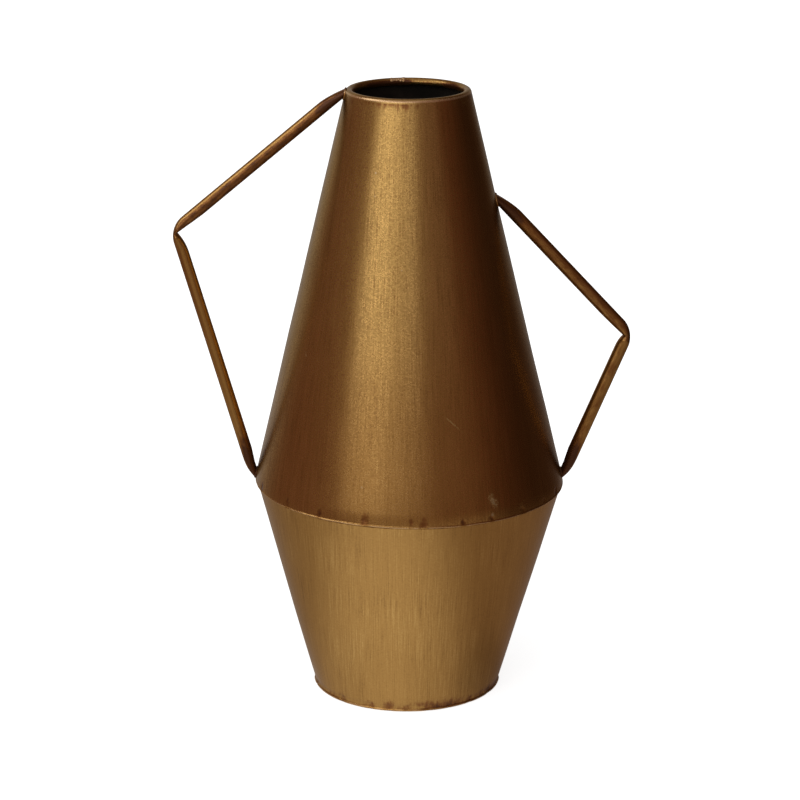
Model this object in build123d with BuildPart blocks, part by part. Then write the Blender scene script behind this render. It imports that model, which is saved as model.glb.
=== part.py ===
from build123d import *
import os
from math import acos, asin, atan2, cos, degrees, radians, sin, sqrt, tan

# An urn vase of painted sheet metal, in millimetres. It stands on the XY plane with its axis on Z,
# its front towards -Y, and its two handles in the XZ plane, the tall one at -X.

# The cones
total_height = 400.0  # table to the top of the rolled rim
seam_height = 139.0  # table to the lower edge of the upper cone's skirt
mouth_radius = 40.2  # outside of the rolled rim
belly_radius = 100.5  # outside of the upper cone's skirt
base_radius = 61.0  # outside of the lower cone's skirt
sheet = 0.8  # thickness of the metal
bend_radius = 2.0  # inside of each bend in the sheet
skirt_height = 4.0  # upright band under the belly bend
base_skirt_height = 5.0  # upright band that stands on the table
collar_shortfall = 0.4  # how far an inner collar stops short of the skirt around it
slip_clearance = 0.1  # between a skirt and the collar inside it

# The rolled rim
rim_wire_radius = 1.75
wire_clearance = 0.05  # between the wire and the curl around it
curl_sweep = 285.0  # degrees that the edge is rolled through
wire_gap = 1.0  # between the two ends of the wire

# The lengthwise seams and the solder
seam_azimuth = 94.5  # degrees from +X, so that the seams are behind the vase
seam_gap = 1.0  # between the sheet's edges, at the belly
seam_bead_radius = 0.9
solder_rise = 2.0  # height of the sealing fillets

# The punch marks that lock each skirt to the collar inside it
punch_radius = 3.0
punch_depth = 0.35
belly_punch_count = 20
base_punch_count = 24

# The handles
tube_radius = 3.85
tube_wall = 0.9
elbow_radius = 17.0  # of the bend's outer side
elbow_neck = 3.1  # thickness left at the crease
crease_run = 7.5  # from the corner to where the crease begins
crease_stations = (0.4, 0.75)  # shares of that run where the tube's section is set
tip_thickness = 3.6  # of the flattened ends
taper_run = 18.0  # length over which an end is flattened
left_elbow_reach = 149.4
left_elbow_height = 308.2
left_top_drop = 3.6  # from the mouth down to the seat
right_elbow_reach = 142.5
right_elbow_height = 239.6
right_top_drop = 72.2
foot_rise = 4.8  # from the belly seam up to the seats of both feet

# The weld beads round the handles' ends
bead_margin = 0.8  # bead beyond the tube, along the wall
bead_height = 1.4  # bead above the wall
bead_crown = 0.7  # size of the bead's top, as a share of its foot


def bend_point(centre, radius, angle):
    """The point of a bend at an angle, in the sheet's section."""
    return centre + Vector(radius, 0).rotate(Axis.Z, angle)


def wall_tilt(upper_centre, upper_radius, lower_centre, lower_radius):
    """The angle of the outward normal of a flat wall that runs from one bend down to the next one.
    The radius of a bend is negative where its centre is outside the vase."""
    reach = lower_centre - upper_centre
    return degrees(atan2(reach.Y, reach.X) + acos((upper_radius - lower_radius) / reach.length))


def section_plane(azimuth):
    """The upright plane through the axis whose X direction points away from the axis at an azimuth."""
    outward = Vector(1, 0).rotate(Axis.Z, azimuth)
    return Plane((0, 0, 0), x_dir=outward, z_dir=outward.rotate(Axis.Z, -90))


# The middle of the sheet's thickness runs through these bends
bend_mid = bend_radius + sheet / 2
curl_mid = rim_wire_radius + wire_clearance + sheet / 2
curl_radius = curl_mid + sheet / 2
curl_centre = Vector(mouth_radius - curl_radius, total_height - curl_radius)
skirt_mid = belly_radius - sheet / 2
belly_centre = Vector(skirt_mid - bend_mid, seam_height + skirt_height)
collar_mid = skirt_mid - sheet - slip_clearance
collar_top = seam_height + skirt_height - collar_shortfall
shoulder_centre = Vector(collar_mid - bend_mid, seam_height)
base_mid = base_radius - sheet / 2
foot_centre = Vector(base_mid + bend_mid, base_skirt_height)
pan_mid = base_mid - sheet - slip_clearance
pan_top = base_skirt_height - collar_shortfall
upper_tilt = wall_tilt(curl_centre, curl_mid, belly_centre, bend_mid)
lower_tilt = wall_tilt(shoulder_centre, bend_mid, foot_centre, -bend_mid)
seam_angle = degrees(seam_gap / belly_radius)


def upper_section(plane):
    """The upper cone's sheet, cut along the axis: the curl, the wall, the belly bend and the skirt."""
    with BuildSketch(plane) as section:
        with BuildLine():
            curl = CenterArc(curl_centre, curl_mid, upper_tilt, curl_sweep)
            belly_bend = CenterArc(belly_centre, bend_mid, 0, upper_tilt)
            Line(curl @ 0, belly_bend @ 1)
            Line(belly_bend @ 0, (skirt_mid, seam_height))
        trace(line_width=sheet)
    return section.sketch


def lower_section(plane):
    """The lower cone's sheet, cut along the axis: the collar, two bends with the wall between, the skirt."""
    with BuildSketch(plane) as section:
        with BuildLine():
            shoulder_bend = CenterArc(shoulder_centre, bend_mid, lower_tilt, -lower_tilt)
            foot_bend = CenterArc(foot_centre, bend_mid, 180 + lower_tilt, -lower_tilt)
            Line((collar_mid, collar_top), shoulder_bend @ 1)
            Line(shoulder_bend @ 0, foot_bend @ 0)
            Line(foot_bend @ 1, (base_mid, 0))
        trace(line_width=sheet)
    return section.sketch


def wall_radius(height):
    """The outside of the upper cone's flat wall at a height."""
    wall_foot = bend_point(belly_centre, bend_mid + sheet / 2, upper_tilt)
    return wall_foot.X - (height - wall_foot.Y) * tan(radians(upper_tilt))


def leg_plane(corner, seat, away):
    """A handle's leg: its Z direction runs down the tube from the elbow's corner, and its X direction
    points to the outer side of the bend. The flattened tip, on the inner side of the tube, meets the seat."""
    reach = seat - corner
    straight = reach.normalized()
    outside = (away - straight * straight.dot(away)).normalized()
    lean = asin((tube_radius - tip_thickness / 2) / reach.length)
    along = straight * cos(lean) + outside * sin(lean)
    return Plane(corner, x_dir=outside * cos(lean) - straight * sin(lean), z_dir=along)


def oval(plane, half_thickness, inset):
    """A cross-section of the tube. Where it is squeezed it gets wider, as its way round stays the same."""
    half_width = sqrt(2 * tube_radius**2 - half_thickness**2)
    with BuildSketch(plane) as section:
        Ellipse(half_width - inset, half_thickness - inset)
    return section.sketch


def tube_section(leg, along, outer, inner, inset):
    """The oval across a leg that reaches from its inner to its outer side."""
    centre = leg.from_local_coords(((outer + inner) / 2, 0, along))
    return oval(Plane(centre, x_dir=(0, 1, 0), z_dir=leg.z_dir), (outer - inner) / 2, inset)


def tube_skin(legs, seats, inset):
    """The outside of a handle, or with an inset its bore, from the creased elbow to past both seats."""
    corner = legs[0].origin
    half_turn = radians(180 - legs[0].z_dir.get_angle(legs[1].z_dir)) / 2
    bend_start = (elbow_radius - tube_radius) * tan(half_turn)
    outward = (legs[0].z_dir + legs[1].z_dir).normalized() * -1
    neck_outer = tube_radius / cos(half_turn) - elbow_radius * (1 / cos(half_turn) - 1)
    notch = neck_outer - elbow_neck
    notch_along = -notch * sin(half_turn)
    notch_side = notch * cos(half_turn)
    elbow_run = max(bend_start, crease_run)
    with BuildPart() as skin:
        for leg, other, seat in zip(legs, reversed(legs), seats):
            neck_centre = corner + outward * (neck_outer - elbow_neck / 2)
            neck_plane = Plane(neck_centre, x_dir=(0, 1, 0), z_dir=leg.z_dir - other.z_dir)
            elbow_sections = [oval(neck_plane, elbow_neck / 2, inset)]
            for share in crease_stations:
                along = share * crease_run
                bend_depth = elbow_radius - sqrt(elbow_radius**2 - max(0, bend_start - along) ** 2)
                crease = (along - notch_along) / (crease_run - notch_along)
                inner = notch_side - crease * (tube_radius + notch_side)
                elbow_sections.append(tube_section(leg, along, tube_radius - bend_depth, inner, inset))
            elbow_sections.append(tube_section(leg, elbow_run, tube_radius, -tube_radius, inset))
            loft(elbow_sections)
            taper_end = leg.to_local_coords(seat).Z + tip_thickness
            taper_start = taper_end - taper_run
            round_end = tube_section(leg, elbow_run, tube_radius, -tube_radius, inset)
            extrude(round_end, taper_start - elbow_run)
            taper_sections = []
            for share in (0, 0.5, 1):
                outer = tube_radius - (2 * tube_radius - tip_thickness) * share
                along = taper_start + share * taper_run
                taper_sections.append(tube_section(leg, along, outer, -tube_radius, inset))
            loft(taper_sections)
            extrude(taper_sections[-1], tube_radius)
    return skin.part


os.makedirs("parts", exist_ok=True)

# The upper cone, rolled from sheet and open by the seam gap at the back
with BuildPart() as upper_cone:
    revolve(upper_section(section_plane(seam_azimuth)), axis=Axis.Z, revolution_arc=360 - seam_angle)
    with Locations((0, 0, seam_height + skirt_height / 2)):
        with PolarLocations(belly_radius + punch_radius - punch_depth, belly_punch_count, start_angle=-90):
            Sphere(punch_radius, mode=Mode.SUBTRACT)
upper_cone.part.label = "upper_cone"
export_step(upper_cone.part, "parts/upper_cone.step")

# The wire ring that stiffens the rolled rim
with BuildPart() as rim_wire:
    with BuildSketch(section_plane(seam_azimuth)):
        with Locations(curl_centre):
            Circle(rim_wire_radius)
    revolve(axis=Axis.Z, revolution_arc=360 - degrees(wire_gap / curl_centre.X))
rim_wire.part.label = "rim_wire"
export_step(rim_wire.part, "parts/rim_wire.step")

# The lower cone, whose collar slips inside the upper cone's skirt
with BuildPart() as lower_cone:
    revolve(lower_section(section_plane(seam_azimuth)), axis=Axis.Z, revolution_arc=360 - seam_angle)
    with Locations((0, 0, base_skirt_height / 2)):
        with PolarLocations(base_radius + punch_radius - punch_depth, base_punch_count, start_angle=-90):
            Sphere(punch_radius, mode=Mode.SUBTRACT)
lower_cone.part.label = "lower_cone"
export_step(lower_cone.part, "parts/lower_cone.step")

# The flat bottom, whose collar slips inside the lower cone's skirt
with BuildPart() as base_pan:
    with BuildSketch(Plane.XZ):
        with BuildLine():
            floor = Line((0, sheet / 2), (pan_mid - bend_mid, sheet / 2))
            bend = CenterArc(floor @ 1 + Vector(0, bend_mid), bend_mid, -90, 90)
            Line(bend @ 1, (pan_mid, pan_top))
        trace(line_width=sheet)
    revolve(axis=Axis.Z)
base_pan.part.label = "base_pan"
export_step(base_pan.part, "parts/base_pan.step")

# The weld that closes the upper cone: it fills the gap and stands proud along the wall
with BuildPart() as upper_seam_weld:
    revolve(upper_section(section_plane(seam_azimuth - seam_angle)), axis=Axis.Z, revolution_arc=seam_angle)
    bead_foot = bend_point(belly_centre, bend_mid, upper_tilt)
    bead_top = bend_point(curl_centre, curl_mid, upper_tilt)
    seam_plane = section_plane(seam_azimuth - seam_angle / 2)
    bead_start = seam_plane.from_local_coords(bead_foot)
    bead_along = seam_plane.from_local_coords(bead_top) - bead_start
    with BuildSketch(Plane(bead_start, z_dir=bead_along)):
        Circle(seam_bead_radius)
    extrude(amount=bead_along.length - 2 * curl_radius)  # ends under the curl
    add(upper_cone.part, mode=Mode.SUBTRACT)
upper_seam_weld.part.label = "upper_seam_weld"
export_step(upper_seam_weld.part, "parts/upper_seam_weld.step")

# The weld that closes the lower cone
with BuildPart() as lower_seam_weld:
    revolve(lower_section(section_plane(seam_azimuth - seam_angle)), axis=Axis.Z, revolution_arc=seam_angle)
    bead_foot = bend_point(foot_centre, -bend_mid, lower_tilt)
    bead_top = bend_point(shoulder_centre, bend_mid, lower_tilt)
    seam_plane = section_plane(seam_azimuth - seam_angle / 2)
    bead_start = seam_plane.from_local_coords(bead_foot)
    bead_along = seam_plane.from_local_coords(bead_top) - bead_start
    with BuildSketch(Plane(bead_start, z_dir=bead_along)):
        Circle(seam_bead_radius)
    extrude(amount=bead_along.length)
    add(lower_cone.part, mode=Mode.SUBTRACT)
lower_seam_weld.part.label = "lower_seam_weld"
export_step(lower_seam_weld.part, "parts/lower_seam_weld.step")

# The solder fillet on top of the lower cone's collar
with BuildPart() as belly_solder:
    with BuildSketch(Plane.XZ):
        with BuildLine():
            foot = Line((collar_mid - sheet / 2, collar_top), (skirt_mid, collar_top))
            Polyline(foot @ 1, foot @ 1 + Vector(0, solder_rise), foot @ 0)
        make_face()
    revolve(axis=Axis.Z)
    add([upper_cone.part, upper_seam_weld.part], mode=Mode.SUBTRACT)
belly_solder.part.label = "belly_solder"
export_step(belly_solder.part, "parts/belly_solder.step")

# The solder fillet on top of the base pan's collar
with BuildPart() as base_solder:
    with BuildSketch(Plane.XZ):
        with BuildLine():
            foot = Line((pan_mid - sheet / 2, pan_top), (base_mid, pan_top))
            Polyline(foot @ 1, foot @ 1 + Vector(0, solder_rise), foot @ 0)
        make_face()
    revolve(axis=Axis.Z)
    add([lower_cone.part, lower_seam_weld.part], mode=Mode.SUBTRACT)
base_solder.part.label = "base_solder"
export_step(base_solder.part, "parts/base_solder.step")

# The space inside the vase's outer skin and above its mouth, which trims the handles' ends
trim_height = total_height + 4 * tube_radius  # clear of the left handle's end
with BuildPart() as body_space:
    with BuildSketch(Plane.XZ):
        with BuildLine():
            corner_height = seam_height + skirt_height
            corner_height += (wall_radius(corner_height) - belly_radius) / tan(radians(upper_tilt))
            Polyline(
                (0, 0),
                (belly_radius, 0),
                (belly_radius, corner_height),
                (wall_radius(total_height), total_height),
                (belly_radius, total_height),
                (belly_radius, trim_height),
                (0, trim_height),
                close=True,
            )
        make_face()
    revolve(axis=Axis.Z)

# Both handles: a creased tube whose pinched ends are cut to the wall, and the weld bead at each end
handles = {
    "left": (-1, left_elbow_reach, left_elbow_height, total_height - left_top_drop),
    "right": (1, right_elbow_reach, right_elbow_height, total_height - right_top_drop),
}
for name, (side, elbow_reach, elbow_height, top_height) in handles.items():
    corner = Vector(side * elbow_reach, 0, elbow_height)
    foot_height = seam_height + foot_rise
    seats = [Vector(side * wall_radius(height), 0, height) for height in (top_height, foot_height)]
    away = corner - (seats[0] + seats[1]) / 2
    legs = [leg_plane(corner, seat, away) for seat in seats]
    outside = tube_skin(legs, seats, 0)

    with BuildPart() as handle:
        add(outside)
        add(tube_skin(legs, seats, tube_wall), mode=Mode.SUBTRACT)
        add(body_space.part, mode=Mode.SUBTRACT)
    handle.part.label = f"{name}_handle"
    export_step(handle.part, f"parts/{name}_handle.step")

    wall_normal = Vector(side * cos(radians(upper_tilt)), 0, sin(radians(upper_tilt)))
    for end, leg, seat in zip(("top", "foot"), legs, seats):
        half_length = tip_thickness / 2 / abs(leg.z_dir.dot(wall_normal)) + bead_margin
        half_width = sqrt(2 * tube_radius**2 - (tip_thickness / 2) ** 2) + bead_margin
        with BuildPart() as weld:
            for rise in (-sheet, bead_height / 2, bead_height):
                dome = sqrt(1 - (1 - bead_crown**2) * (rise / bead_height) ** 2)
                with BuildSketch(Plane(seat + wall_normal * rise, x_dir=(0, 1, 0), z_dir=wall_normal)):
                    Ellipse(half_width * dome, half_length * dome)
            loft()
            add([body_space.part, outside], mode=Mode.SUBTRACT)
        weld.part.label = f"{name}_handle_{end}_weld"
        export_step(weld.part, f"parts/{name}_handle_{end}_weld.step")
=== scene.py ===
from collections import namedtuple
from math import asin, cos, dist, pi, radians, sin, sqrt, tan

import bmesh
import bpy
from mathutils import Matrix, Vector


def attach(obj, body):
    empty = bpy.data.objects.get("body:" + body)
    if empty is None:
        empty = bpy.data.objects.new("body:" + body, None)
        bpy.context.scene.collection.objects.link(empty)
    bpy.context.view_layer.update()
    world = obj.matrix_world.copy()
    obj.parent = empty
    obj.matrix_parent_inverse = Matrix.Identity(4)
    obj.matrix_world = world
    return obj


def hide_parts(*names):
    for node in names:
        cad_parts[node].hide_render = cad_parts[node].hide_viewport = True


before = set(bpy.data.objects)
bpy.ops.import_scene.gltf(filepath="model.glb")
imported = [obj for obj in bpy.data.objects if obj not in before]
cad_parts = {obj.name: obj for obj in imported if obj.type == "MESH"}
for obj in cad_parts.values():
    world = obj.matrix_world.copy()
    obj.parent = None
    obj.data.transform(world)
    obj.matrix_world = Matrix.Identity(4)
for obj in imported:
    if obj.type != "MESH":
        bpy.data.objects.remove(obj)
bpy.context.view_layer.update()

# The lower cone: steel sheet rolled into an inverted cone and welded down its back. Its collar slips
# inside the upper cone, and its punched skirt stands on the table. Gold lacquer is brushed over a dark
# brown ground.
SEAM_AZIMUTH = 94.5  # degrees from +X: both lengthwise seams are behind the vase
BELLY_HEIGHT = 139.0  # millimetres, as are the other sizes of the sections
BELLY_RISE = 0.0012  # metres: hand work left the belly seam high
BELLY_TILT = 0.0012  # metres more on the left, and less on the right
BELLY_SWAY = 0.0008  # metres to the right
FOOT_SWAY = -0.0008  # metres, so to the left
LEAN_REACH = 90.0  # height over which the belly's and the foot's leans die away
LIP_REACH = 3.0  # height over which the lip's waver dies away
LOWER_TILT = 16.147  # degrees that the wall leans out
CLOSING_GAP = 0.000002  # metres: points nearer than this are joined
BASE_MARK_AZIMUTHS = (-43.5, -22.5, -10.7, 0.6, 13.3, 25.9, 41.8, 61.0)  # degrees right of the front
SHOWN_AZIMUTHS = (-62, 78)  # how much of a row of punch marks the photograph shows
MARK_WAVER = 0.4  # the most that a mark is off its row
MARK_SPREAD = 0.25  # the most that a mark is larger or smaller, as a share of its size
MARK_RAGGEDNESS = 0.0035  # metres: how far a mark's edge strays
SMUDGE_SHAPE = (1, 1, 0.6)  # the brown round a mark runs up the sheet
FRONT = radians(270)  # from +X
BRUSH_RADIUS = 0.075  # metres: where brush strokes are as wide as stated, and they taper with the cone
HAIR_SCALE = (1200, 30, 1)  # to a metre, round the sheet and along it, as are the next two
BAND_SCALE = (150, 9, 1)
BLOTCH_SCALE = (330, 120, 330)
FLAKE_SCALE = 1700.0
HAIR_DEPTH = 0.00003  # metres
LACQUER_ROUGHNESS = 0.33
COAT_WEIGHT = 0.25
COAT_ROUGHNESS = 0.22
EDGE_TINT = (0.6, 0.55, 0.5, 1)
RED_GOLD = (0.42, 0.234, 0.062, 1.0)
YELLOW_GOLD = (0.43, 0.27, 0.077, 1.0)
WORN_GOLD = (0.53, 0.325, 0.1, 1.0)
DULL_GOLD = (0.3, 0.16, 0.04, 1.0)
# rubbed bare gold, also the colour of the painted highlights on the lip and the rim's curl
BARE_GOLD_AND_PAINTED_HIGHLIGHT = (0.74, 0.51, 0.26, 1.0)
RUST_BROWN = (0.24, 0.095, 0.02, 1.0)
BROWN_GROUND = (0.1, 0.036, 0.011, 1.0)
# the lining's colours, near black: painted shade inside the vase
LINING_DARK = (0.011, 0.008, 0.005, 1)
LINING_BROWN = (0.03, 0.02, 0.012, 1)


def feed(tree, made, feeds):
    """Each named input of a node takes another node's socket or a plain value."""
    for socket, value in feeds.items():
        if isinstance(value, bpy.types.NodeSocket):
            tree.links.new(value, made.inputs[socket])
        else:
            made.inputs[socket].default_value = value


def node(tree, kind, feeds=None, **settings):
    """A new node with its settings and what feeds it."""
    made = tree.nodes.new(kind)
    for name, value in settings.items():
        setattr(made, name, value)
    feed(tree, made, feeds or {})
    return made


def result(tree, kind, feeds=None, **settings):
    """What a new node gives at its first output."""
    return node(tree, kind, feeds, **settings).outputs[0]


def calc(tree, operation, first, second=0.0, third=0.0):
    """The result of one sum."""
    return result(tree, "ShaderNodeMath", {0: first, 1: second, 2: third}, operation=operation)


def whole(tree, operation, first, second):
    """The result of one sum in whole numbers."""
    return result(tree, "FunctionNodeIntegerMath", {0: first, 1: second}, operation=operation)


def vector_calc(tree, operation, first, second=(0, 0, 0), scale=1.0):
    """The result of one sum on places, which is a plain number where it measures them."""
    made = node(tree, "ShaderNodeVectorMath", {0: first, 1: second, 3: scale}, operation=operation)
    measured = operation in ("LENGTH", "DISTANCE", "DOT_PRODUCT")
    return made.outputs["Value" if measured else "Vector"]


def parts_of(tree, place):
    """The x, y and z of a place."""
    return node(tree, "ShaderNodeSeparateXYZ", {0: place}).outputs


def place_of(tree, x=0.0, y=0.0, z=0.0):
    """A place from its x, y and z."""
    return result(tree, "ShaderNodeCombineXYZ", {0: x, 1: y, 2: z})


def noise(tree, place, scale, detail=2.0, roughness=0.5):
    """Cloudy grey noise over a place, about 0.5 on average."""
    feeds = {"Vector": place, "Scale": scale, "Detail": detail, "Roughness": roughness}
    return result(tree, "ShaderNodeTexNoise", feeds)


def stretched(tree, place, scale):
    """A place drawn out by its own scale each way."""
    return result(tree, "ShaderNodeMapping", {"Vector": place, "Scale": scale})


def spread(tree, value, low, high, to_low, to_high, steps="SMOOTHSTEP"):
    """A value moved from one range to another, held at the ends."""
    feeds = {"Value": value, "From Min": low, "From Max": high, "To Min": to_low, "To Max": to_high}
    return result(tree, "ShaderNodeMapRange", feeds, interpolation_type=steps)


def blend(tree, factor, first, second):
    """A colour between two others."""
    return node(tree, "ShaderNodeMix", {0: factor, 6: first, 7: second}, data_type="RGBA").outputs[2]


def mottled(tree, clouds, first, second):
    """Two colours clouded together."""
    return blend(tree, spread(tree, clouds, 0.3, 0.7, 0, 1), first, second)


def new_finish(name):
    """A new material, its nodes, its shader and the place on the piece."""
    material = bpy.data.materials.new(name)
    material.use_nodes = True
    tree = material.node_tree
    place = node(tree, "ShaderNodeTexCoord").outputs["Object"]
    return material, tree, tree.nodes["Principled BSDF"], place


def gold_lacquer(name, sparkle, ripe, scuffs=()):
    """Gold lacquer with more or less metal flake, brushed along the sheet, reddish and turning yellow over
    a run along it. It reads the piece's own attributes: brush, the way round and along it in metres, and
    a brown level, below 0 where it is rubbed bright and where a highlight is painted, 0 for plain gold, and
    1 for brown, which in places is painted shade."""
    material, tree, shader, place = new_finish(name)
    brush = node(tree, "ShaderNodeAttribute", attribute_name="brush").outputs["Vector"]
    patina = node(tree, "ShaderNodeAttribute", attribute_name="patina").outputs["Fac"]

    strokes = spread(tree, noise(tree, place, 20.0), 0.35, 0.65, 0.6, 1.1)
    hairs = noise(tree, stretched(tree, brush, HAIR_SCALE), 1.0, 3.0, 0.7)
    hairs = calc(tree, "MULTIPLY", calc(tree, "SUBTRACT", hairs, 0.5), strokes)
    bands = noise(tree, stretched(tree, brush, BAND_SCALE), 1.0, 3.0, 0.6)
    flake = node(tree, "ShaderNodeTexVoronoi", {"Vector": place, "Scale": FLAKE_SCALE}).outputs["Color"]
    flake = calc(tree, "SUBTRACT", parts_of(tree, flake)[0], 0.5)
    flake = calc(tree, "MULTIPLY", flake, sparkle)
    clouds = noise(tree, place, 24.0, 3.0)
    tone = calc(tree, "MULTIPLY", hairs, 2.4)
    for part, weight in ((bands, 0.6), (flake, 0.6), (clouds, 0.5)):
        tone = calc(tree, "MULTIPLY_ADD", part, weight, tone)
    run = parts_of(tree, brush)[1]
    gold = blend(tree, spread(tree, run, *ripe, 0, 1), RED_GOLD, YELLOW_GOLD)
    gold = blend(tree, spread(tree, tone, -0.05, 0.55, 1, 0), gold, DULL_GOLD)
    gold = blend(tree, spread(tree, tone, 0.55, 1.15, 0, 1), gold, WORN_GOLD)
    # Rubbed bare gold, which also serves as painted highlight on the belly's lip and the rim's curl.
    gold = blend(tree, spread(tree, patina, -0.7, 0.0, 1, 0), gold, BARE_GOLD_AND_PAINTED_HIGHLIGHT)

    blotches = noise(tree, stretched(tree, brush, BLOTCH_SCALE), 1.0, 4.0, 0.6)
    thin = calc(tree, "ADD", blotches, calc(tree, "SUBTRACT", patina, 0.5))
    brown = spread(tree, thin, 0.1, 0.9, 0, 1)
    colour = blend(tree, spread(tree, brown, 0.0, 0.6, 0, 1), gold, RUST_BROWN)
    colour = blend(tree, spread(tree, brown, 0.5, 1.0, 0, 1), colour, BROWN_GROUND)
    rough = LACQUER_ROUGHNESS
    for part, weight in ((hairs, -0.22), (flake, -0.14), (brown, 0.12)):
        rough = calc(tree, "MULTIPLY_ADD", part, weight, rough)
    metal = spread(tree, brown, 0, 1, 1.0, 0.75, "LINEAR")
    metal = calc(tree, "MULTIPLY", metal, spread(tree, patina, -0.5, 0.0, 0.9, 1))
    for scuff in scuffs:
        feeds = {"Vector": brush, "Location": (*scuff.middle, 0), "Rotation": (0, 0, scuff.turn)}
        feeds["Scale"] = (scuff.half_width, scuff.half_length, 1)
        local = result(tree, "ShaderNodeMapping", feeds, vector_type="TEXTURE")
        torn = calc(tree, "MULTIPLY", noise(tree, place, 700.0), 1.6)
        worn = calc(tree, "ADD", vector_calc(tree, "LENGTH", local), torn)
        scuffed = spread(tree, worn, 0.7, 1.9, 0.6, 0)
        colour = blend(tree, scuffed, colour, scuff.colour)
        metal = calc(tree, "MULTIPLY", metal, calc(tree, "SUBTRACT", 1.0, scuffed))

    bump = result(tree, "ShaderNodeBump", {"Height": hairs, "Strength": 1.0, "Distance": HAIR_DEPTH})
    feed(tree, shader, {"Base Color": colour, "Roughness": rough, "Metallic": metal, "Normal": bump})
    feed(tree, shader, {"Coat Weight": COAT_WEIGHT, "Coat Roughness": COAT_ROUGHNESS})
    feed(tree, shader, {"Specular Tint": EDGE_TINT})
    return material


def dark_lining():
    """The unseen inside: a brown ground made near black, far darker than the ground under the gold, as
    painted shade for the inside of the vase; dull and a little cloudy.
    """
    material, tree, shader, place = new_finish("dark_lining")
    clouds = noise(tree, place, 45.0, 4.0, 0.6)
    rough = spread(tree, clouds, 0.3, 0.7, 0.5, 0.7)
    feed(tree, shader, {"Base Color": mottled(tree, clouds, LINING_DARK, LINING_BROWN), "Roughness": rough})
    return material


def on_arc(centre, radius, angle):
    """The point of an arc in the sheet's section at an angle in degrees."""
    return (centre[0] + radius * cos(radians(angle)), centre[1] + radius * sin(radians(angle)))


def bend(centre, radius, start, end, steps):
    """Points round a bend of the sheet's section, between two angles."""
    return [on_arc(centre, radius, start + (end - start) * k / steps) for k in range(steps + 1)]


def straight(start, end, steps):
    """Points along a straight run of the sheet's section, between its ends."""
    shares = [k / steps for k in range(1, steps)]
    return [(start[0] + (end[0] - start[0]) * s, start[1] + (end[1] - start[1]) * s) for s in shares]


def new_tree(name, sockets, made):
    """A new tree of geometry nodes with its named inputs and what it makes, and the inputs' sockets."""
    tree = bpy.data.node_groups.new(name, "GeometryNodeTree")
    for socket, kind in sockets.items():
        tree.interface.new_socket(socket, in_out="INPUT", socket_type=f"NodeSocket{kind}")
    tree.interface.new_socket(made, in_out="OUTPUT", socket_type="NodeSocketGeometry")
    return tree, node(tree, "NodeGroupInput").outputs


def named(tree, name, kind="FLOAT"):
    """What each point keeps under a name."""
    return result(tree, "GeometryNodeInputNamedAttribute", {"Name": name}, data_type=kind)


def sampled(tree, source, value, index, kind="FLOAT"):
    """A value at one point of another geometry."""
    feeds = {"Geometry": source, "Value": value, "Index": index}
    return result(tree, "GeometryNodeSampleIndex", feeds, data_type=kind, domain="POINT")


def stored(tree, geometry, name, value, kind="FLOAT"):
    """A geometry whose points keep a value under a name."""
    feeds = {"Geometry": geometry, "Name": name, "Value": value}
    return result(tree, "GeometryNodeStoreNamedAttribute", feeds, data_type=kind, domain="POINT")


def skinned(tree, grid, places, lacquer):
    """A smooth lacquered skin: a grid whose points go to their places and whose edges close."""
    skin = result(tree, "GeometryNodeSetPosition", {"Geometry": grid, "Position": places})
    skin = result(tree, "GeometryNodeMergeByDistance", {"Geometry": skin, "Distance": CLOSING_GAP})
    skin = result(tree, "GeometryNodeSetShadeSmooth", {"Geometry": skin})
    skin = result(tree, "GeometryNodeRealizeInstances", {"Geometry": skin})
    return result(tree, "GeometryNodeSetMaterial", {"Geometry": skin, "Material": lacquer})


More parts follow.
